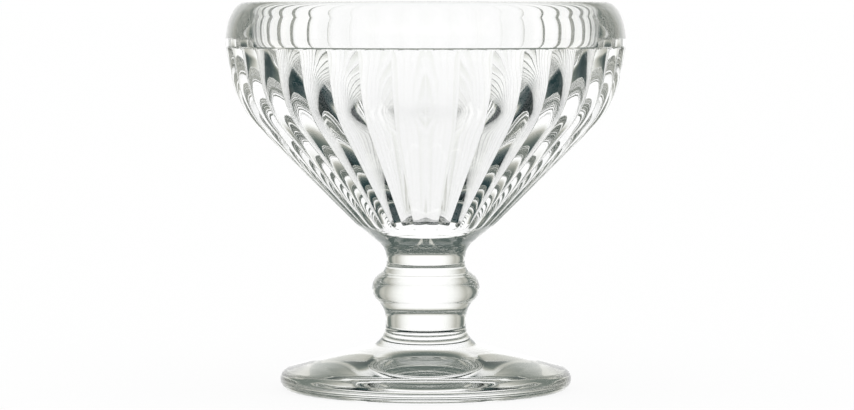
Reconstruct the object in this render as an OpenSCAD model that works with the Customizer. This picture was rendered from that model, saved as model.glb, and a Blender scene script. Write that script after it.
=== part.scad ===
// Footed dessert glass in clear pressed glass, in millimetres.
// Three gathers of glass joined hot, face to face: a ribbed bowl, a knopped stem and a disc foot.
// Origin: centre of the resting ring, on the table. +Z is up, along the axis of the glass.

/* [Foot] */
// Radius of the disc foot
foot_r = 37.7; // [33:0.1:44]
// Rounding of the foot's outer edge
foot_edge = 2.65; // [1.8:0.05:3.4]
// Slope of the foot's top, in degrees from level
foot_slope = 16; // [11:0.1:20]
// Radius of the neck where the foot flares out of it
foot_neck_r = 10.4; // [9.3:0.1:12]
// Rounding of the flare between neck and disc
foot_flare = 5.2; // [4:0.1:8]
// Radius of the shallow hollow under the foot
hollow_r = 27; // [20:0.5:29]
// Depth of that hollow at its centre
hollow_h = 1.6; // [0.8:0.1:2.5]

/* [Stem] */
// Length of the stem between its two joints
stem_h = 21.8; // [21.2:0.1:28]
// Height of the knop's middle above the foot joint
knop_z = 9.8; // [9:0.1:10.2]
// Radius of the knop at its widest
knop_r = 13.9; // [12.6:0.1:15]
// Rounding of the knop's outside
knop_round = 4.4; // [3.5:0.1:5]
// Radius of the neck above the knop
neck_r = 10.15; // [9.6:0.05:11]
// Rounding between the upper neck and the knop
knop_fillet_top = 3.4; // [2.5:0.1:4]
// Rounding between the knop and the lower neck
knop_fillet_low = 7; // [5:0.1:8.5]
// Radius of the joint between stem and bowl
joint_r = 12.35; // [11.6:0.05:13]
// Rounding that spreads the neck into the bowl joint
joint_fillet = 5.7; // [4:0.1:6.6]

/* [Bowl] */
// Height of the smooth underside, from the joint to the ends of the ribs
under_h = 3.9; // [3:0.1:5]
// Radius at the lower ends of the ribs
rib_end_r = 17.4; // [15:0.1:20]
// Height of the ribbed wall
rib_zone_h = 46; // [40:0.5:52]
// How far the corner where cone and upper wall would meet lies in from the band's outside
shoulder_in = 2.85; // [1.5:0.05:6]
// Height of that corner above the lower ends of the ribs
shoulder_z = 30.9; // [27:0.1:34]
// Rounding of the shoulder
shoulder_round = 25.4; // [15:0.1:30]

/* [Ribs] */
// Number of ribs round the bowl
rib_count = 38; // [30:1:44]
// How far a rib stands out of its grooves at the top of the wall
rib_depth = 1; // [0.6:0.05:1.6]
// How full a rib's section is: 2 is a parabola, and a lower value brings it nearer to a roof
rib_fullness = 1.7; // [1.4:0.1:2.4]
// How far the ribs run up behind the band's chamfer
rib_overlap = 0.2; // [0.1:0.05:0.25]
// Length over which a rib rounds off at its lower end
rib_nose = 1.8; // [1:0.1:2.4]

/* [Rim band] */
// Outer radius of the smooth band
band_r = 51.55; // [50.6:0.05:56]
// Height of the band, from the ribs to the top of the lip
band_h = 11.9; // [10:0.1:14]
// Chamfer along the band's lower edge
band_chamfer = 0.35; // [0.2:0.05:0.6]
// Height over which the band rounds in to the lip
lip_h = 10.3; // [7:0.1:11]
// How far the top of the lip lies in from the band's outside
lip_in = 5.2; // [4.8:0.1:6.4]
// Rounding on the inside of the lip
lip_round = 0.8; // [0.6:0.1:1.4]

/* [Cavity] */
// Thickness of the wall behind the rim band, at the cavity's widest place
band_wall = 5.1; // [4.6:0.05:5.8]
// Depth of that widest place below the top of the lip
inner_drop = 4.65; // [4:0.05:8]
// Rounding between the cavity's upper wall and its cone
inner_round = 28.5; // [22:0.1:32]
// Radius of the corner between that cone and the cavity's floor
floor_r = 7.95; // [6:0.05:9]
// Thickness of glass between the cavity's floor and the joint
floor_h = 8.6; // [6.5:0.1:9.4]
// Rounding of that corner
floor_round = 3; // [1:0.1:5]

/* [Hidden] */
$fn = 144;
arc_steps = 12;
overrun = 2;
glass_tint = [0.82, 0.9, 0.88, 0.55];
// Segments across one rib, and rows of the ribbed mesh on each stretch of the wall
rib_segments = 6;
nose_rows = 4;
cone_rows = 3;
shoulder_rows = 7;
upper_rows = 2;
// A rib is as deep as this share of the bowl's radius at its height
rib_depth_share = rib_depth / band_r;

// Heights of the joints and levels, from the table up
foot_top_edge_r = foot_r - foot_edge + foot_edge * sin(foot_slope);
foot_top_edge_z = foot_edge + foot_edge * cos(foot_slope);
flare_r = foot_neck_r + foot_flare;
foot_h = foot_top_edge_z + (foot_top_edge_r - flare_r) * tan(foot_slope) + foot_flare / cos(foot_slope);
joint_z = foot_h + stem_h;
rib_end_z = joint_z + under_h;
band_z = rib_end_z + rib_zone_h;
glass_h = band_z + band_h;

// Lines of the ribbed wall: the ribs' crest runs up the cone, round the shoulder and up the upper wall
crest_low = [rib_end_r, rib_end_z];
crest_corner = [band_r - shoulder_in, rib_end_z + shoulder_z];
crest_top = [band_r, band_z + rib_overlap];

// Points on an arc about centre, from angle a to angle b
function arc(centre, radius, a, b) = [
    for (i = [0:arc_steps])
        let (t = a + (b - a) * i / arc_steps)
        centre + radius * [cos(t), sin(t)]
];

function unit(v) = v / norm(v);

// An arc of the given radius that rounds the corner between the points before and after it
function rounded_corner(before, corner, after, radius, steps) =
    let (
        u = unit(before - corner),
        v = unit(after - corner),
        half = acos(u * v) / 2,
        centre = corner + unit(u + v) * radius / sin(half),
        first = corner + u * radius / tan(half),
        last = corner + v * radius / tan(half),
        a = atan2(first[1] - centre[1], first[0] - centre[0]),
        b = atan2(last[1] - centre[1], last[0] - centre[0]),
        turn = (b - a + 540) % 360 - 180
    )
    [for (i = [0:steps]) let (t = a + turn * i / steps) centre + radius * [cos(t), sin(t)]];

// Outline of the disc foot: resting ring, rounded edge, sloping top, flare and neck
function foot_outline() =
    let (
        edge_centre = [foot_r - foot_edge, foot_edge],
        flare_centre = [flare_r, foot_h],
        dome_r = (hollow_r * hollow_r + hollow_h * hollow_h) / (2 * hollow_h),
        dome_centre = [0, hollow_h - dome_r],
        dome_half = asin(hollow_r / dome_r)
    )
    concat(
        arc(dome_centre, dome_r, 90, 90 - dome_half),
        arc(edge_centre, foot_edge, -90, 90 - foot_slope),
        arc(flare_centre, foot_flare, 270 - foot_slope, 180),
        [[0, foot_h]]
    );

// Outline of the stem: lower neck, knop and upper neck spreading to the joint
function stem_outline() =
    let (
        knop_centre = [knop_r - knop_round, foot_h + knop_z],
        low_reach = foot_neck_r + knop_fillet_low - knop_centre[0],
        top_reach = neck_r + knop_fillet_top - knop_centre[0],
        low_rise = sqrt(pow(knop_round + knop_fillet_low, 2) - pow(low_reach, 2)),
        top_rise = sqrt(pow(knop_round + knop_fillet_top, 2) - pow(top_reach, 2)),
        low_angle = atan2(low_rise, low_reach),
        top_angle = atan2(top_rise, top_reach),
        low_centre = knop_centre + [low_reach, -low_rise],
        top_centre = knop_centre + [top_reach, top_rise],
        spread = joint_r - neck_r,
        spread_angle = acos(1 - spread / joint_fillet),
        joint_centre = [neck_r + joint_fillet, joint_z - joint_fillet * sin(spread_angle)]
    )
    concat(
        [[0, foot_h], [foot_neck_r, foot_h]],
        arc(low_centre, knop_fillet_low, 180, 180 - low_angle),
        arc(knop_centre, knop_round, -low_angle, top_angle),
        arc(top_centre, knop_fillet_top, 180 + top_angle, 180),
        arc(joint_centre, joint_fillet, 180, 180 - spread_angle),
        [[0, joint_z]]
    );

// Outline of the smooth rim band, solid to the axis
function band_outline() =
    let (lip_centre = [band_r - lip_in, glass_h - lip_h])
    concat(
        [[0, band_z], [band_r - band_chamfer, band_z], [band_r, band_z + band_chamfer]],
        [
            for (i = [0:arc_steps])
                let (t = 90 * i / arc_steps)
                lip_centre + [lip_in * cos(t), lip_h * sin(t)]
        ],
        [[0, glass_h]]
    );

// Outline of the cavity: floor, cone, arc up to the widest place, the lip's inward curl, and run out
function cavity_outline() =
    let (
        floor_corner = [floor_r, joint_z + floor_h],
        widest = [band_r - band_wall, glass_h - inner_drop],
        middle = widest - [inner_round, 0],
        away = floor_corner - middle,
        turn = atan2(away[1], away[0]) + acos(inner_round / norm(away)),
        cone_top = middle + inner_round * [cos(turn), sin(turn)],
        mouth = [band_r - lip_in - lip_round, glass_h - lip_round]
    )
    concat(
        [[0, floor_corner[1]]],
        rounded_corner([0, floor_corner[1]], floor_corner, cone_top, floor_round, arc_steps),
        arc(middle, inner_round, turn, 0),
        [
            for (i = [1:arc_steps - 1])
                let (t = i / arc_steps)
                [mouth[0] + (widest[0] - mouth[0]) * (1 - t * t), widest[1] + (mouth[1] - widest[1]) * t]
        ],
        arc(mouth + [lip_round, 0], lip_round, 180, 90),
        [
            [mouth[0] + lip_round, glass_h + overrun],
            [0, glass_h + overrun]
        ]
    );

// Points along a straight stretch of the wall, without its last one
function stretch(from, to, rows) = [for (i = [0:rows - 1]) from + (to - from) * i / rows];

// Crest line of the ribs, from their lower ends to the band
function crest_line() =
    let (
        shoulder = rounded_corner(crest_low, crest_corner, crest_top, shoulder_round, shoulder_rows),
        nose_top = crest_low + unit(crest_corner - crest_low) * rib_nose,
        last = shoulder[shoulder_rows]
    )
    concat(
        stretch(crest_low, nose_top, nose_rows),
        stretch(nose_top, shoulder[0], cone_rows),
        stretch_through(shoulder),
        stretch(last, crest_top, upper_rows),
        [crest_top]
    );

// All points of a line but its last one
function stretch_through(line) = [for (i = [0:len(line) - 2]) line[i]];

// Share of its full height that a rib has at a distance above its lower end, across its width
function nose_share(rise, across) =
    let (t = (rise / rib_nose) - (1 - sqrt(1 - pow(across, 2))))
    t >= 1 ? 1 : t <= 0 ? 0 : sqrt(1 - pow(1 - t, 2));

// One ring of points round the wall at a point of the crest line
function rib_ring(point) = [
    for (i = [0:rib_count * rib_segments - 1])
        let (
            across = 2 * (i % rib_segments) / rib_segments - 1,
            angle = 360 * i / (rib_count * rib_segments) - 90,
            depth = rib_depth_share * point[0],
            rise = norm(point - crest_low),
            height = depth * (1 - pow(abs(across), rib_fullness)) * nose_share(rise, across),
            r = point[0] - depth + height
        )
        [r * cos(angle), r * sin(angle), point[1]]
];

// The ribbed wall and the smooth underside as one closed body, solid to the axis
module ribbed_body() {
    line = crest_line();
    per_ring = rib_count * rib_segments;
    rings = concat(
        [[for (i = [0:per_ring - 1])
            let (angle = 360 * i / per_ring - 90)
            [joint_r * cos(angle), joint_r * sin(angle), joint_z]]],
        [for (p = line) rib_ring(p)]
    );
    count = len(rings);
    points = concat(
        [for (ring = rings) each ring],
        [[0, 0, joint_z], [0, 0, crest_top[1]]]
    );
    sides = [
        for (k = [0:count - 2]) for (i = [0:per_ring - 1])
            let (
                j = (i + 1) % per_ring,
                a = k * per_ring + i,
                b = k * per_ring + j,
                c = (k + 1) * per_ring + j,
                d = (k + 1) * per_ring + i
            )
            each [[a, c, b], [a, d, c]]
    ];
    low_cap = [for (i = [0:per_ring - 1]) [count * per_ring, i, (i + 1) % per_ring]];
    top = (count - 1) * per_ring;
    top_cap = [for (i = [0:per_ring - 1]) [count * per_ring + 1, top + (i + 1) % per_ring, top + i]];
    polyhedron(points, concat(sides, low_cap, top_cap), convexity = 6);
}

// Ribbed bowl with its smooth band, hollowed by the plunger
module bowl() {
    color(glass_tint)
    difference() {
        union() {
            ribbed_body();
            rotate_extrude() polygon(band_outline());
        }
        rotate_extrude() polygon(cavity_outline());
    }
}

// Solid knopped stem
module stem() {
    color(glass_tint) rotate_extrude() polygon(stem_outline());
}

// Disc foot with its flared neck
module foot() {
    color(glass_tint) rotate_extrude() polygon(foot_outline());
}

bowl();
stem();
foot();
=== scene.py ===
"""Footed dessert glass in clear pressed glass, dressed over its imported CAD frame."""

import logging
import math
from collections.abc import Sequence
from dataclasses import dataclass, field, replace
from enum import Enum

import bpy
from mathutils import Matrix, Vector


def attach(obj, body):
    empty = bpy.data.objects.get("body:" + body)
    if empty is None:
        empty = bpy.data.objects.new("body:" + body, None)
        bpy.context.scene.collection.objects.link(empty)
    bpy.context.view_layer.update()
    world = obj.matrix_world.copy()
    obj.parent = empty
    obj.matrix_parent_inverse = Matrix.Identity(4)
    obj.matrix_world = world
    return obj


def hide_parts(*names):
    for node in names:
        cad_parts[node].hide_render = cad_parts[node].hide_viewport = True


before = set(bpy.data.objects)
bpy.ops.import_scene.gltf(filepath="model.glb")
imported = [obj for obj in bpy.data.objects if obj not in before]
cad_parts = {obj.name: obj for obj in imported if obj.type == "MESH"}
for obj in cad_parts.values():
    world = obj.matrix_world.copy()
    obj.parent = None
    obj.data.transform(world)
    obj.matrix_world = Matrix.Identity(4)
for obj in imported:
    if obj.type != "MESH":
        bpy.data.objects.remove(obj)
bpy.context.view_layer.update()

LOG = logging.getLogger("dessert_glass")
MM = 0.001
# Width and height of the photograph's frame in pixels
PICTURE = (854, 410)
# Number of ribs, and steps across one of them
RIB_COUNT = 38
RIB_STEPS = 12
# How full a rib's section is: 2 is a parabola, and a lower value brings it nearer to a roof
RIB_FULLNESS = 1.7
# Slope of the band's underside into a groove, and its reach along the rib in millimetres
LEDGE_SLOPE = 0.45
LEDGE_REACH = 2.0
# Rounding of the ribs' ends on a piece without ribs, where it has no effect but can't be nought
NO_RIBS = 1.0
# Radii of the rings on a joint's flat face, as shares of the neck's radius
FACE_RINGS = (0.0, 0.33, 0.66, 1.0)
# Degrees after which the studio's boards repeat, mirrored
QUARTER = 90.0
# Points nearer than this, in metres, are one
MERGE_REACH = 1e-7
# Values of the joint attribute above which a face is a joint, and below which an edge is crisp
JOINT_ABOVE = 0.99
CRISP_BELOW = -0.5
# Twice the area, in square metres, that an edge round the axis spans with the axis at the least
ROUND_THE_AXIS = 1e-8


class Row(Enum):
    """Kinds of surface that a point of an outline belongs to."""

    EDGE = -1
    WALL = 0
    JOINT = 1


@dataclass(frozen=True)
class Point:
    """One point of an outline, in millimetres.

    The ribs' depth and the distances along the rib to its two ends are nought off the ribbed wall.
    """

    r: float
    z: float
    depth: float = 0.0
    from_low: float = 0.0
    from_top: float = 0.0
    kind: Row = Row.WALL


def linear(hex_colour: str) -> tuple[float, float, float, float]:
    """Turn an sRGB hex colour to the linear values that shaders take.

    Args:
        hex_colour: Six hex digits with a leading hash.

    Returns:
        Red, green and blue in linear light, and an alpha of one.
    """
    parts = [int(hex_colour[i : i + 2], 16) / 255 for i in (1, 3, 5)]
    out = [c / 12.92 if c <= 0.04045 else ((c + 0.055) / 1.055) ** 2.4 for c in parts]
    return (out[0], out[1], out[2], 1.0)


def add(
    tree: bpy.types.NodeTree,
    kind: str,
    settings: dict[str, object] | None = None,
    **inputs: object,
) -> bpy.types.Node:
    """Add a node with its settings, values and links.

    Args:
        tree: Tree that the node goes into.
        kind: Blender's identifier of the node.
        settings: Properties of the node.
        **inputs: Input sockets by number as i0, i1 and so on, each a value or an output socket.

    Returns:
        The new node.
    """
    made = tree.nodes.new(kind)
    for name, value in (settings or {}).items():
        setattr(made, name, value)
    for name, value in inputs.items():
        socket = made.inputs[int(name[1:])]
        if isinstance(value, bpy.types.NodeSocket):
            tree.links.new(value, socket)
        else:
            socket.default_value = value
    return made


def math_chain(tree: bpy.types.NodeTree, operation: str, *values: object) -> bpy.types.NodeSocket:
    """Add one Math node.

    Args:
        tree: Tree that the node goes into.
        operation: Name of the operation.
        *values: Its values or links, in order.

    Returns:
        The node's output.
    """
    inputs = {f"i{i}": value for i, value in enumerate(values)}
    return add(tree, "ShaderNodeMath", {"operation": operation}, **inputs).outputs[0]


def arc(
    centre: tuple[float, float], radius: float, first: float, last: float, steps: int
) -> list[Point]:
    """Sample a circular arc of an outline.

    Args:
        centre: Centre, as radius and height in millimetres.
        radius: Radius of the arc in millimetres.
        first: Angle of the first point in degrees.
        last: Angle of the last point in degrees.
        steps: Number of steps along it.

    Returns:
        The arc's points, ends included.
    """
    out = []
    for i in range(steps + 1):
        t = math.radians(first + (last - first) * i / steps)
        out.append(Point(centre[0] + radius * math.cos(t), centre[1] + radius * math.sin(t)))
    return out


def straight(first: Point, last: Point, steps: int) -> list[Point]:
    """Sample a straight stretch of an outline, without its two ends.

    Args:
        first: Point that the stretch leaves.
        last: Point that it reaches.
        steps: Number of steps along it.

    Returns:
        The points between the two.
    """
    return [
        Point(first.r + (last.r - first.r) * i / steps, first.z + (last.z - first.z) * i / steps)
        for i in range(1, steps)
    ]


def rounded(before: Point, corner: Point, after: Point, radius: float, steps: int) -> list[Point]:
    """Round the corner between two straight stretches.

    Args:
        before: A point on the first stretch.
        corner: The point where the two stretches meet.
        after: A point on the second stretch.
        radius: Radius of the rounding in millimetres.
        steps: Number of steps round it.

    Returns:
        The points of the rounding, from the first stretch to the second.
    """
    at = Vector((corner.r, corner.z))
    u = (Vector((before.r, before.z)) - at).normalized()
    v = (Vector((after.r, after.z)) - at).normalized()
    half = math.acos(max(-1.0, min(1.0, u.dot(v)))) / 2
    centre = at + (u + v).normalized() * radius / math.sin(half)
    first = at + u * radius / math.tan(half) - centre
    last = at + v * radius / math.tan(half) - centre
    a = math.degrees(math.atan2(first.y, first.x))
    b = math.degrees(math.atan2(last.y, last.x))
    turn = (b - a + 540) % 360 - 180
    return arc((centre.x, centre.y), radius, a, a + turn, steps)


def joint_face(radius: float, z: float, inwards: bool) -> list[Point]:
    """Points of a joint's flat face, between its centre and its edge.

    Args:
        radius: Radius of the neck at the joint in millimetres.
        z: Height of the joint in millimetres.
        inwards: Whether the outline runs from the edge to the centre.

    Returns:
        The points, in the order of the outline.
    """
    shares = FACE_RINGS[::-1] if inwards else FACE_RINGS
    return [Point(radius * share, z, kind=Row.JOINT) for share in shares]


@dataclass(frozen=True)
class TurnedTree:
    """Geometry Nodes tree that turns an outline about the axis and raises ribs on it.

    The outline comes in as loose points with the rib's depth and the distances to its ends as
    attributes. Every rib is one pitch wide; its section is a shallow arc between two grooves.
    """

    name: str = "turned_glass"

    def build(self) -> bpy.types.NodeTree:
        """Build the tree.

        Returns:
            The tree, with named inputs for the ribs' number, steps and rounding.
        """
        tree = bpy.data.node_groups.new(self.name, "GeometryNodeTree")
        face = tree.interface
        face.new_socket("Outline", in_out="INPUT", socket_type="NodeSocketGeometry")
        for label, kind in (
            ("Ribs", "NodeSocketInt"),
            ("Steps across a rib", "NodeSocketInt"),
            ("Points along the outline", "NodeSocketInt"),
            ("Rounding of the rib ends", "NodeSocketFloat"),
            ("Fullness of a rib", "NodeSocketFloat"),
            ("Slope under the band", "NodeSocketFloat"),
            ("Reach of that slope", "NodeSocketFloat"),
            ("Wall finish", "NodeSocketMaterial"),
            ("Joint finish", "NodeSocketMaterial"),
        ):
            face.new_socket(label, in_out="INPUT", socket_type=kind)
        face.new_socket("Glass", in_out="OUTPUT", socket_type="NodeSocketGeometry")
        given = add(tree, "NodeGroupInput").outputs

        def m(operation: str, *values: object) -> bpy.types.NodeSocket:
            """Add a Math node to this tree."""
            return math_chain(tree, operation, *values)

        # A grid with a column for each step round the axis and a row for each point of the outline
        steps, length = given["Steps across a rib"], given["Points along the outline"]
        around = m("MULTIPLY", given["Ribs"], steps)
        grid = add(
            tree,
            "GeometryNodeMeshGrid",
            None,
            i0=1.0,
            i1=1.0,
            i2=m("ADD", around, 1.0),
            i3=length,
        )
        index = add(tree, "GeometryNodeInputIndex").outputs[0]
        column = m("FLOOR", m("DIVIDE", m("ADD", index, 0.5), length))
        row = m("SUBTRACT", index, m("MULTIPLY", column, length))

        def outline(kind: str, value: bpy.types.NodeSocket) -> bpy.types.NodeSocket:
            """Read a value of the outline at the row of a grid point."""
            node = add(tree, "GeometryNodeSampleIndex", {"data_type": kind, "domain": "POINT"})
            tree.links.new(given["Outline"], node.inputs["Geometry"])
            tree.links.new(value, node.inputs["Value"])
            tree.links.new(row, node.inputs["Index"])
            return node.outputs[0]

        def named(name: str) -> bpy.types.NodeSocket:
            """Read a named attribute."""
            settings = {"data_type": "FLOAT"}
            return add(tree, "GeometryNodeInputNamedAttribute", settings, i0=name).outputs[0]

        place = outline("FLOAT_VECTOR", add(tree, "GeometryNodeInputPosition").outputs[0])
        depth = outline("FLOAT", named("depth"))
        from_low = outline("FLOAT", named("from_low"))
        from_top = outline("FLOAT", named("from_top"))
        split = add(tree, "ShaderNodeSeparateXYZ", None, i0=place).outputs

        # Across a rib from -1 to 1, with the steps drawn together towards the grooves
        rib = m("FLOOR", m("DIVIDE", m("ADD", column, 0.5), steps))
        step = m("SUBTRACT", column, m("MULTIPLY", rib, steps))
        even = m("SUBTRACT", m("MULTIPLY", m("DIVIDE", step, steps), 2.0), 1.0)
        across = m("SINE", m("MULTIPLY", even, math.pi / 2))
        turn = m("ADD", rib, m("MULTIPLY", m("ADD", across, 1.0), 0.5))
        share = m("DIVIDE", turn, given["Ribs"])
        angle = m("SUBTRACT", m("MULTIPLY", share, 2 * math.pi), math.pi / 2)

        # The ends of a rib are rounded in plan and in section
        bow = m("SUBTRACT", 1.0, m("SQRT", m("SUBTRACT", 1.0, m("MULTIPLY", across, across))))

        def end_share(distance: bpy.types.NodeSocket, rounding: object) -> bpy.types.NodeSocket:
            """Share of its height that a rib has at a distance from its end."""
            rise = m("SUBTRACT", m("DIVIDE", distance, rounding), bow)
            left = m("SUBTRACT", 1.0, m("MINIMUM", m("MAXIMUM", rise, 0.0), 1.0))
            return m("SQRT", m("SUBTRACT", 1.0, m("MULTIPLY", left, left)))

        low = end_share(from_low, given["Rounding of the rib ends"])
        arch = m("SUBTRACT", 1.0, m("POWER", m("ABSOLUTE", across), given["Fullness of a rib"]))
        height = m("MULTIPLY", m("MULTIPLY", depth, arch), low)
        sunk = m("SUBTRACT", depth, height)
        radius = m("SUBTRACT", split[0], sunk)

        # The band's underside slopes down into each groove, so the line along it dips there
        away = m("DIVIDE", from_top, given["Reach of that slope"])
        near = m("MAXIMUM", m("SUBTRACT", 1.0, away), 0.0)
        dip = m("MULTIPLY", m("MULTIPLY", sunk, given["Slope under the band"]), near)
        position = add(
            tree,
            "ShaderNodeCombineXYZ",
            None,
            i0=m("MULTIPLY", radius, m("COSINE", angle)),
            i1=m("MULTIPLY", radius, m("SINE", angle)),
            i2=m("SUBTRACT", split[2], dip),
        )
        spot = {"i0": grid.outputs[0], "i2": position.outputs[0]}
        moved = add(tree, "GeometryNodeSetPosition", None, **spot)

        # Faces of a joint are told by the outline points that they lie between
        settings = {"data_type": "FLOAT", "domain": "POINT"}
        joint = add(tree, "GeometryNodeStoreNamedAttribute", settings)
        tree.links.new(moved.outputs[0], joint.inputs["Geometry"])
        joint.inputs["Name"].default_value = "joint"
        tree.links.new(outline("FLOAT", named("kind")), joint.inputs["Value"])
        closed = add(tree, "GeometryNodeMergeByDistance", None, i0=joint.outputs[0], i2=MERGE_REACH)
        smooth = add(tree, "GeometryNodeSetShadeSmooth", None, i0=closed.outputs[0])
        finish = {"i0": smooth.outputs[0], "i2": given["Wall finish"]}
        wall = add(tree, "GeometryNodeSetMaterial", None, **finish)
        flat = m("GREATER_THAN", named("joint"), JOINT_ABOVE)
        finish = {"i0": wall.outputs[0], "i1": flat, "i2": given["Joint finish"]}
        seam = add(tree, "GeometryNodeSetMaterial", None, **finish)
        out = add(tree, "NodeGroupOutput")
        tree.links.new(seam.outputs[0], out.inputs[0])
        return tree


def turned(
    name: str,
    outline: Sequence[Point],
    tree: bpy.types.NodeTree,
    rounding: float,
    wall: bpy.types.Material,
    joint: bpy.types.Material,
) -> bpy.types.Object:
    """Turn an outline into a closed piece of glass.

    Args:
        name: Name of the piece.
        outline: Points of the outline, which starts and ends on the axis.
        tree: The Geometry Nodes tree that turns it.
        rounding: Rounding of the ribs' ends in millimetres.
        wall: Finish of the outside.
        joint: Finish of the faces where two gathers of glass have run together.

    Returns:
        The piece, a plain mesh at the origin.
    """
    mesh = bpy.data.meshes.new(f"{name}_outline")
    mesh.from_pydata([(p.r * MM, 0.0, p.z * MM) for p in outline], [], [])
    for label, values in (
        ("depth", [p.depth * MM for p in outline]),
        ("from_low", [p.from_low * MM for p in outline]),
        ("from_top", [p.from_top * MM for p in outline]),
        ("kind", [float(p.kind.value) for p in outline]),
    ):
        mesh.attributes.new(label, "FLOAT", "POINT").data.foreach_set("value", values)
    maker = bpy.data.objects.new(f"{name}_maker", mesh)
    bpy.context.scene.collection.objects.link(maker)
    modifier = maker.modifiers.new("turning", "NODES")
    modifier.node_group = tree
    values = {
        "Ribs": RIB_COUNT,
        "Steps across a rib": RIB_STEPS,
        "Points along the outline": len(outline),
        "Rounding of the rib ends": rounding * MM,
        "Fullness of a rib": RIB_FULLNESS,
        "Slope under the band": LEDGE_SLOPE,
        "Reach of that slope": LEDGE_REACH * MM,
        "Wall finish": wall,
        "Joint finish": joint,
    }
    for item in tree.interface.items_tree:
        if item.in_out == "INPUT" and item.name in values:
            modifier[item.identifier] = values[item.name]
    bpy.context.view_layer.update()
    ready = maker.evaluated_get(bpy.context.evaluated_depsgraph_get())
    made = bpy.data.meshes.new_from_object(ready)
    made.name = name
    bpy.data.objects.remove(maker)
    bpy.data.meshes.remove(mesh)
    if signed_volume(made) < 0:
        made.flip_normals()
    mark_seams(made)
    piece = bpy.data.objects.new(name, made)
    bpy.context.scene.collection.objects.link(piece)
    return piece


def signed_volume(mesh: bpy.types.Mesh) -> float:
    """Volume inside a closed mesh, negative where its faces point inwards."""
    mesh.calc_loop_triangles()
    total = 0.0
    for tri in mesh.loop_triangles:
        a, b, c = (mesh.vertices[i].co for i in tri.vertices)
        total += a.dot(b.cross(c)) / 6
    return total


def mark_seams(mesh: bpy.types.Mesh) -> None:
    """Keep the shading apart at a joint's flat face and along the crisp edges under the band."""
    slots = [material.name if material else "" for material in mesh.materials]
    joint = mesh.attributes["joint"].data
    sides: dict[tuple[int, int], set[str]] = {}
    for face in mesh.polygons:
        for key in face.edge_keys:
            sides.setdefault(key, set()).add(slots[face.material_index])
    for edge in mesh.edges:
        a, b = (mesh.vertices[i].co for i in edge.vertices)
        crisp = all(joint[i].value < CRISP_BELOW for i in edge.vertices)
        ring = abs(a.x * b.y - a.y * b.x) > ROUND_THE_AXIS
        if len(sides.get(edge.key, ())) > 1 or (crisp and ring):
            edge.use_edge_sharp = True


@dataclass(frozen=True)
class ClearGlass:
    """Fire-polished clear soda-lime glass.

    Pressed in an iron mould and then passed through a flame, so it is smooth to the eye, with a
    slow waviness left by the mould. The glass itself is colourless, and its greys are the room's.
    """

    name: str = "clear_soda_lime_glass"
    tint: str = "#ffffff"
    refractive_index: float = 1.52
    wave_mm: float = 9.0
    wave_height_mm: float = 0.012

    def build(self) -> bpy.types.Material:
        """Build the finish.

        Returns:
            The material.
        """
        material = bpy.data.materials.new(self.name)
        material.use_nodes = True
        tree = material.node_tree
        tree.nodes.clear()
        place = add(tree, "ShaderNodeTexCoord").outputs["Object"]
        wave = add(tree, "ShaderNodeTexNoise", None)
        tree.links.new(place, wave.inputs["Vector"])
        wave.inputs["Scale"].default_value = 1 / (self.wave_mm * MM)
        wave.inputs["Detail"].default_value = 1.0
        bump = add(tree, "ShaderNodeBump")
        bump.inputs["Strength"].default_value = 1.0
        bump.inputs["Distance"].default_value = self.wave_height_mm * MM
        tree.links.new(wave.outputs[0], bump.inputs["Height"])
        glass = add(tree, "ShaderNodeBsdfPrincipled")
        glass.inputs["Base Color"].default_value = linear(self.tint)
        glass.inputs["Roughness"].default_value = 0.0
        glass.inputs["IOR"].default_value = self.refractive_index
        glass.inputs["Transmission Weight"].default_value = 1.0
        tree.links.new(bump.outputs[0], glass.inputs["Normal"])
        out = add(tree, "ShaderNodeOutputMaterial")
        tree.links.new(glass.outputs[0], out.inputs[0])
        return material


@dataclass(frozen=True)
class FusedJoint:
    """The face where two gathers of hot glass have run together.

    Nothing of it is left to bend or reflect light, so it lets everything through.
    """

    name: str = "fused_joint"

    def build(self) -> bpy.types.Material:
        """Build the finish.

        Returns:
            The material.
        """
        material = bpy.data.materials.new(self.name)
        material.use_nodes = True
        tree = material.node_tree
        tree.nodes.clear()
        clear = add(tree, "ShaderNodeBsdfTransparent")
        out = add(tree, "ShaderNodeOutputMaterial")
        tree.links.new(clear.outputs[0], out.inputs[0])
        return material


@dataclass(frozen=True)
class Levels:
    """Heights of the joints above the table, and the radii there, in millimetres."""

    foot_joint: float = 16.3935
    foot_neck: float = 10.4
    bowl_joint: float = 38.1935
    bowl_neck: float = 12.35
    rib_ends: float = 42.0935
    band: float = 88.0935
    top: float = 99.9935


@dataclass
class Foot:
    """Disc foot with the flare that leads into the stem."""

    levels: Levels = field(default_factory=Levels)
    radius: float = 37.7
    edge: float = 2.65
    slope: float = 16.0
    flare: float = 5.2
    hollow_radius: float = 27.0
    hollow_height: float = 1.6
    hollow_steps: int = 14
    ring_steps: int = 5
    edge_steps: int = 22
    slope_steps: int = 16
    flare_steps: int = 20

    def outline(self) -> list[Point]:
        """Outline from the middle of the underside to the joint's centre."""
        lv = self.levels
        dome = (self.hollow_radius**2 + self.hollow_height**2) / (2 * self.hollow_height)
        half = math.degrees(math.asin(self.hollow_radius / dome))
        under = arc((0, self.hollow_height - dome), dome, 90, 90 - half, self.hollow_steps)
        under[0] = Point(0, self.hollow_height)
        middle = (self.radius - self.edge, self.edge)
        rim = arc(middle, self.edge, -90, 90 - self.slope, self.edge_steps)
        middle = (lv.foot_neck + self.flare, lv.foot_joint)
        flare = arc(middle, self.flare, 270 - self.slope, 180, self.flare_steps)
        flat = straight(under[-1], rim[0], self.ring_steps)
        top = straight(rim[-1], flare[0], self.slope_steps)
        face = joint_face(lv.foot_neck, lv.foot_joint, inwards=True)
        return under + flat + rim + top + flare[:-1] + face


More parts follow.
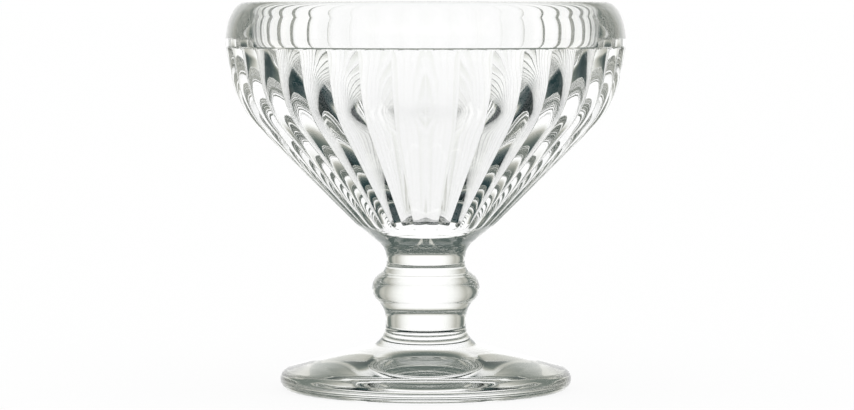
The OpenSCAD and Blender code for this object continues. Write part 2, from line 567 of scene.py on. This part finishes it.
@dataclass
class Stem:
    """Solid stem with its ring-shaped knop."""

    levels: Levels = field(default_factory=Levels)
    knop_height: float = 9.8
    knop_radius: float = 13.9
    knop_round: float = 4.4
    neck: float = 10.15
    fillet_top: float = 3.4
    fillet_low: float = 7.0
    joint_fillet: float = 5.7
    neck_steps: int = 3
    knop_steps: int = 24
    top_steps: int = 12
    low_steps: int = 16
    joint_steps: int = 16

    def outline(self) -> list[Point]:
        """Outline from the centre of the lower joint to the centre of the upper one."""
        low_z, high_z = self.levels.foot_joint, self.levels.bowl_joint
        low_r, high_r = self.levels.foot_neck, self.levels.bowl_neck
        knop = (self.knop_radius - self.knop_round, low_z + self.knop_height)
        reach_low = low_r + self.fillet_low - knop[0]
        reach_top = self.neck + self.fillet_top - knop[0]
        rise_low = math.sqrt((self.knop_round + self.fillet_low) ** 2 - reach_low**2)
        rise_top = math.sqrt((self.knop_round + self.fillet_top) ** 2 - reach_top**2)
        turn_low = math.degrees(math.atan2(rise_low, reach_low))
        turn_top = math.degrees(math.atan2(rise_top, reach_top))
        spread = math.degrees(math.acos(1 - (high_r - self.neck) / self.joint_fillet))
        joint_z = high_z - self.joint_fillet * math.sin(math.radians(spread))
        middle = (knop[0] + reach_low, knop[1] - rise_low)
        low = arc(middle, self.fillet_low, 180, 180 - turn_low, self.low_steps)
        ring = arc(knop, self.knop_round, -turn_low, turn_top, self.knop_steps)
        middle = (knop[0] + reach_top, knop[1] + rise_top)
        high = arc(middle, self.fillet_top, 180 + turn_top, 180, self.top_steps)
        middle = (self.neck + self.joint_fillet, joint_z)
        end = arc(middle, self.joint_fillet, 180, 180 - spread, self.joint_steps)
        base = joint_face(low_r, low_z, inwards=False)
        return (
            base
            + straight(base[-1], low[0], self.neck_steps)
            + low
            + ring[1:]
            + high[1:]
            + straight(high[-1], end[0], self.neck_steps)
            + end[:-1]
            + joint_face(high_r, high_z, inwards=True)
        )


@dataclass
class Bowl:
    """Pressed bowl: ribbed wall, smooth rim band, lip and cavity."""

    levels: Levels = field(default_factory=Levels)
    rib_end: float = 17.4
    shoulder: float = 48.7
    shoulder_z: float = 30.9
    shoulder_round: float = 25.4
    rib_depth: float = 1.0
    rib_nose: float = 1.8
    nose_reach: float = 1.2
    band: float = 51.55
    chamfer: float = 0.35
    chamfer_in: float = 0.6
    ledge_rise: float = 0.01
    band_rise: float = 0.2
    lip_height: float = 10.3
    lip_in: float = 5.2
    lip_round: float = 0.8
    band_wall: float = 5.1
    inner_drop: float = 4.65
    inner_round: float = 28.5
    floor_radius: float = 7.95
    floor_height: float = 8.6
    floor_round: float = 3.0
    short_steps: int = 3
    under_steps: int = 6
    nose_steps: int = 12
    cone_steps: int = 14
    shoulder_steps: int = 16
    upper_steps: int = 10
    lip_steps: int = 26
    curl_steps: int = 12
    lip_round_steps: int = 8
    cavity_steps: int = 26
    floor_steps: int = 12

    def wall(self) -> list[Point]:
        """Outline of the ribbed wall, from the smooth underside to the band.

        The rows are close together along the ribs' noses and further apart up the cone.
        """
        lv = self.levels
        low = Point(self.rib_end, lv.rib_ends)
        corner = Point(self.shoulder, lv.rib_ends + self.shoulder_z)
        top = Point(self.band, lv.band + self.band_rise)
        bend = rounded(low, corner, top, self.shoulder_round, self.shoulder_steps)
        nose = self.nose_reach * self.rib_nose / math.hypot(bend[0].r - low.r, bend[0].z - low.z)
        shares = [nose * i / self.nose_steps for i in range(self.nose_steps)]
        shares += [nose + (1 - nose) * i / self.cone_steps for i in range(self.cone_steps)]
        line = [
            Point(low.r + (bend[0].r - low.r) * t, low.z + (bend[0].z - low.z) * t) for t in shares
        ]
        line += bend + straight(bend[-1], top, self.upper_steps) + [top]
        runs = [0.0]
        for a, b in zip(line, line[1:]):
            runs.append(runs[-1] + math.hypot(b.r - a.r, b.z - a.z))
        out = [
            Point(p.r, p.z, self.rib_depth / self.band * p.r, run, runs[-1] - run)
            for p, run in zip(line, runs)
        ]
        out[-1] = replace(out[-1], kind=Row.EDGE)
        return out

    def cavity(self) -> list[Point]:
        """Outline of the inside, from the lip down to the middle of the floor."""
        lv = self.levels
        floor_z = lv.bowl_joint + self.floor_height
        widest = (self.band - self.band_wall, lv.top - self.inner_drop)
        middle = Vector((widest[0] - self.inner_round, widest[1]))
        corner = Point(self.floor_radius, floor_z)
        away = Vector((corner.r, corner.z)) - middle
        turn = math.degrees(math.atan2(away.y, away.x) + math.acos(self.inner_round / away.length))
        bend = arc((middle.x, middle.y), self.inner_round, turn, 0, self.cavity_steps)
        centre = Point(0, floor_z)
        floor = rounded(centre, corner, bend[0], self.floor_round, self.floor_steps)
        mouth = Point(self.band - self.lip_in - self.lip_round, lv.top - self.lip_round)
        across, rise = widest[0] - mouth.r, mouth.z - widest[1]
        curl = [
            Point(mouth.r + across * (1 - t * t), widest[1] + rise * t)
            for t in (i / self.curl_steps for i in range(1, self.curl_steps))
        ]
        lip_middle = (mouth.r + self.lip_round, mouth.z)
        lip = arc(lip_middle, self.lip_round, 180, 90, self.lip_round_steps)
        up = (
            [centre]
            + straight(centre, floor[0], self.short_steps)
            + floor
            + straight(floor[-1], bend[0], self.cavity_steps)
            + bend
            + curl
            + lip
        )
        return up[::-1]

    def outline(self) -> list[Point]:
        """Outline from the centre of the joint, up the outside and down into the cavity."""
        lv = self.levels
        face = joint_face(lv.bowl_neck, lv.bowl_joint, inwards=False)
        wall = self.wall()
        under_end = Point(wall[0].r - wall[0].depth, wall[0].z)
        under = straight(face[-1], under_end, self.under_steps)
        low = lv.band + self.band_rise
        edge = [
            Point(self.band - self.chamfer_in, low + self.ledge_rise, kind=Row.EDGE),
            Point(self.band, low + self.chamfer, kind=Row.EDGE),
        ]
        centre = (self.band - self.lip_in, lv.top - self.lip_height)
        lip = [
            Point(centre[0] + self.lip_in * math.cos(t), centre[1] + self.lip_height * math.sin(t))
            for t in (math.radians(90 * i / self.lip_steps) for i in range(self.lip_steps))
        ]
        band = straight(edge[-1], lip[0], self.short_steps)
        return face + under + wall + edge + band + lip + self.cavity()


@dataclass(frozen=True)
class Board:
    """A dark part of the room, which fades in over a range of directions.

    Attributes:
        span: Azimuths in degrees at which it starts and reaches its full darkness.
        level: Darkness level with the glass, from nought to one.
        ground: Darkness below the glass, from nought to one.
    """

    span: tuple[float, float]
    level: float
    ground: float


@dataclass
class Studio:
    """Plain pale floor, bright backdrop, soft light and the camera at the photograph's angle.

    The glass is lit by the world alone. Azimuths count from straight ahead of the camera and
    repeat four times round the glass, elevations count from level, both in degrees, and a
    darkness runs from nought to one. Light that the glass has thrown back inside itself comes
    from a darker room than light that passes straight through.

    Attributes:
        pixel_mm: Size of the photograph's pixel at the glass, in millimetres.
        distance_px: Distance of the camera from the glass, in those pixels.
        horizon_px: Row of the horizon in the photograph.
        base_px: Row of the table at the glass's axis.
        axis_px: Column of the glass's axis.
        sensor_mm: Width of the camera's sensor in millimetres.
        sight_m: Distance that the camera sees, in metres.
        floor_half_m: Half the floor's width in metres.
        floor_glow: Share of the floor's brightness that shadow doesn't reach.
        through_glass: Strength of the world as the glass sees it.
        straight: Boards that straight light sees.
        straight_end: Azimuths at which those boards start to fade and are gone.
        slot: Half width of the gap in the middle of those boards, without and with its soft edge.
        slot_dark: Share of the boards' darkness that is left in the gap.
        thrown: Boards that thrown-back light sees.
        thrown_end: Azimuths at which those boards start to fade and are gone.
        thrown_side: Darkness beyond them.
        wall: Elevations between which the boards turn to the wall above them.
        wall_dark: Darkness of that wall.
        ground: Elevations between which the boards turn to the ground.
        table: Elevations between which the ground turns to the table round the glass, where the
            glass's shadow is painted.
        table_shadow_straight: Darkness of that painted shadow for straight light; worked light sees
            it black.
        clear_faces: Number of faces that light may pass before it counts as worked.
        roof: Elevations between which the roof comes in.
        roof_dark: Darkness of the roof.
        behind: Azimuths, not repeated, between which the room behind the camera comes in.
        behind_dark: Darkness of the room behind the camera, for thrown-back light.
        behind_top: Elevations between which that room ends.
        bounces: Number of times that light may bend in the glass.
        glossy_bounces: Number of times that it may be thrown back.
        joint_crossings: Number of joints' faces that it may cross.
        tones: Colours of the room by darkness; the first two are the ramp's ends.
    """

    pixel_mm: float = 0.2584
    distance_px: float = 3450.0
    horizon_px: float = 5.0
    base_px: float = 389.0
    axis_px: float = 425.8
    sensor_mm: float = 36.0
    sight_m: float = 50.0
    floor_half_m: float = 200.0
    floor_glow: float = 0.9
    through_glass: float = 1.14
    straight: Board = Board((5.0, 66.0), 0.7, 0.3)
    straight_end: tuple[float, float] = (58.0, 78.0)
    slot: tuple[float, float] = (3.0, 7.0)
    slot_dark: float = 0.75
    thrown: Board = Board((20.0, 48.0), 0.36, 0.86)
    thrown_end: tuple[float, float] = (66.0, 80.0)
    thrown_side: float = 0.32
    wall: tuple[float, float] = (-3.0, 3.0)
    wall_dark: float = 0.58
    ground: tuple[float, float] = (-17.0, -23.0)
    # Painted shadow of the glass on the table round it: where it starts and how dark it is
    table: tuple[float, float] = (-45.0, -52.0)
    table_shadow_straight: float = 0.2
    clear_faces: float = 4.0
    roof: tuple[float, float] = (6.0, 48.0)
    roof_dark: float = 0.68
    behind: tuple[float, float] = (100.0, 125.0)
    behind_dark: float = 0.6
    behind_top: tuple[float, float] = (5.0, 25.0)
    bounces: int = 24
    glossy_bounces: int = 16
    joint_crossings: int = 32
    tones: tuple[tuple[float, str], ...] = (
        (0.0, "#ffffff"),
        (1.0, "#0f1d1f"),
        (0.12, "#f5f6f3"),
        (0.35, "#b5b5ac"),
        (0.6, "#646d67"),
        (0.8, "#283c3e"),
    )

    def camera(self) -> None:
        """Put the camera where the photograph was taken from."""
        middle = (PICTURE[0] / 2, PICTURE[1] / 2)
        pitch = math.atan((middle[1] - self.horizon_px) / self.distance_px)
        distance = self.distance_px * self.pixel_mm * MM
        target = Vector(
            (
                (middle[0] - self.axis_px) * self.pixel_mm * MM,
                0.0,
                (self.base_px - middle[1]) * self.pixel_mm * MM,
            )
        )
        lens = bpy.data.cameras.new("photo_camera")
        lens.sensor_width = self.sensor_mm
        lens.lens = self.distance_px / PICTURE[0] * lens.sensor_width
        lens.clip_end = self.sight_m
        body = bpy.data.objects.new("photo_camera", lens)
        back, up = -distance * math.cos(pitch), distance * math.sin(pitch)
        body.location = target + Vector((0, back, up))
        body.rotation_euler = (math.pi / 2 - pitch, 0.0, 0.0)
        bpy.context.scene.collection.objects.link(body)
        bpy.context.scene.camera = body

    def floor(self) -> None:
        """Lay the floor, which takes the glass's shadow and runs white to the horizon."""
        mesh = bpy.data.meshes.new("floor")
        half = self.floor_half_m
        corners = [(-half, -half, 0), (half, -half, 0), (half, half, 0), (-half, half, 0)]
        mesh.from_pydata(corners, [], [(0, 1, 2, 3)])
        material = bpy.data.materials.new("white_paper_sweep")
        material.use_nodes = True
        tree = material.node_tree
        tree.nodes.clear()
        paper = add(tree, "ShaderNodeBsdfDiffuse")
        paper.inputs["Color"].default_value = (1, 1, 1, 1)
        glow = add(tree, "ShaderNodeEmission")
        mix = add(tree, "ShaderNodeMixShader", None, i0=self.floor_glow)
        tree.links.new(paper.outputs[0], mix.inputs[1])
        tree.links.new(glow.outputs[0], mix.inputs[2])
        out = add(tree, "ShaderNodeOutputMaterial")
        tree.links.new(mix.outputs[0], out.inputs[0])
        mesh.materials.append(material)
        floor = bpy.data.objects.new("floor", mesh)
        bpy.context.scene.collection.objects.link(floor)
        floor.visible_transmission = False
        floor.visible_glossy = False

    def surroundings(self) -> None:
        """Light the glass from a white room with dark boards at the diagonals and a painted shadow
        of the glass on the table round it.
        """
        world = bpy.data.worlds.new("studio")
        bpy.context.scene.world = world
        world.use_nodes = True
        tree = world.node_tree
        tree.nodes.clear()

        def m(operation: str, *values: object) -> bpy.types.NodeSocket:
            """Add a Math node to this tree."""
            return math_chain(tree, operation, *values)

        def soft(value: bpy.types.NodeSocket, span: tuple[float, float]) -> bpy.types.NodeSocket:
            """Rise softly from nought at the span's first value to one at its last."""
            settings = {"interpolation_type": "SMOOTHSTEP"}
            node = add(tree, "ShaderNodeMapRange", settings, i0=value)
            node.inputs["From Min"].default_value = span[0]
            node.inputs["From Max"].default_value = span[1]
            return node.outputs[0]

        def between(share: object, first: object, last: object) -> bpy.types.NodeSocket:
            """Go from a first value at a share of nought to a last one at a share of one."""
            start = m("MULTIPLY", m("SUBTRACT", 1.0, share), first)
            return m("ADD", start, m("MULTIPLY", share, last))

        def most(*values: object) -> bpy.types.NodeSocket:
            """Take the greatest of some values."""
            top = values[0]
            for value in values[1:]:
                top = m("MAXIMUM", top, value)
            return top

        path = add(tree, "ShaderNodeLightPath").outputs
        way = add(tree, "ShaderNodeTexCoord").outputs["Generated"]
        split = add(tree, "ShaderNodeSeparateXYZ", None, i0=way).outputs
        turn = m("ABSOLUTE", m("DEGREES", m("ARCTAN2", split[0], split[1])))
        fold = m("PINGPONG", turn, QUARTER)
        rise = m("DEGREES", m("ARCSINE", split[2]))
        under = soft(rise, self.ground)
        wall = m("MULTIPLY", soft(rise, self.wall), self.wall_dark)

        def boards(board: Board) -> bpy.types.NodeSocket:
            """Darkness of boards: below the glass, level with it and above."""
            shade = most(between(under, board.level, board.ground), wall)
            return m("MULTIPLY", soft(fold, board.span), shade)

        # The boards that straight light sees have a paler gap, for views from the diagonals
        slot = soft(m("ABSOLUTE", m("SUBTRACT", fold, QUARTER / 2)), self.slot)
        left = m("MULTIPLY_ADD", slot, 1 - self.slot_dark, self.slot_dark)
        end = soft(fold, self.straight_end[::-1])
        straight = m("MULTIPLY", m("MULTIPLY", boards(self.straight), end), left)

        # Light that the glass has thrown back inside itself also sees dark far sides
        thrown = m("MINIMUM", path["Glossy Depth"], 1.0)
        end = soft(fold, self.thrown_end[::-1])
        far_side = m("MULTIPLY", m("SUBTRACT", 1.0, end), self.thrown_side)
        sides = between(thrown, straight, most(m("MULTIPLY", boards(self.thrown), end), far_side))

        # Painted shadow: the table round the glass is darkened in place of the glass's own shadow
        # on it, fully for light that was thrown back or crossed many faces
        worked = m("SUBTRACT", path["Transmission Depth"], self.clear_faces)
        worked = m("MINIMUM", most(path["Glossy Depth"], worked), 1.0)
        table = m("MULTIPLY", soft(rise, self.table), between(worked, self.table_shadow_straight, 1.0))
        behind = m("MULTIPLY", soft(turn, self.behind), soft(rise, self.behind_top[::-1]))
        behind = m("MULTIPLY", m("MULTIPLY", behind, self.behind_dark), thrown)
        roof = m("MULTIPLY", soft(rise, self.roof), self.roof_dark)
        tones = add(tree, "ShaderNodeValToRGB", None, i0=most(sides, table, roof, behind))
        elements = tones.color_ramp.elements
        for i, (at, colour) in enumerate(self.tones):
            element = elements[i] if i < 2 else elements.new(at)
            element.position = at
            element.color = linear(colour)
        seen = {"i0": tones.outputs[0], "i1": self.through_glass}
        glow = add(tree, "ShaderNodeBackground", None, **seen)

        # The camera and the floor see a plain white room
        plain = add(tree, "ShaderNodeBackground")
        plain.inputs[0].default_value = (1, 1, 1, 1)
        bare = most(path["Is Camera Ray"], path["Is Diffuse Ray"])
        mix = add(tree, "ShaderNodeMixShader", None, i0=bare)
        tree.links.new(glow.outputs[0], mix.inputs[1])
        tree.links.new(plain.outputs[0], mix.inputs[2])
        out = add(tree, "ShaderNodeOutputWorld")
        tree.links.new(mix.outputs[0], out.inputs[0])

    def set_up(self) -> None:
        """Build the whole studio."""
        self.camera()
        self.floor()
        self.surroundings()
        scene = bpy.context.scene
        scene.view_settings.view_transform = "Standard"
        scene.cycles.max_bounces = self.bounces
        scene.cycles.transmission_bounces = self.bounces
        scene.cycles.glossy_bounces = self.glossy_bounces
        scene.cycles.transparent_max_bounces = self.joint_crossings
        scene.cycles.caustics_reflective = True
        scene.cycles.caustics_refractive = True


def main() -> None:
    """Build the glass piece by piece, and its studio."""
    logging.basicConfig(level=logging.INFO, format="%(name)s: %(message)s")
    wall, joint = ClearGlass().build(), FusedJoint().build()
    tree = TurnedTree().build()
    parts = (("bowl", Bowl(), Bowl.rib_nose), ("stem", Stem(), NO_RIBS), ("foot", Foot(), NO_RIBS))
    for name, part, rounding in parts:
        piece = turned(f"glass_{name}", part.outline(), tree, rounding, wall, joint)
        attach(piece, "root")
        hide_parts(name)
        LOG.info("%s: %d faces", piece.name, len(piece.data.polygons))
    Studio().set_up()


if __name__ == "__main__":
    main()
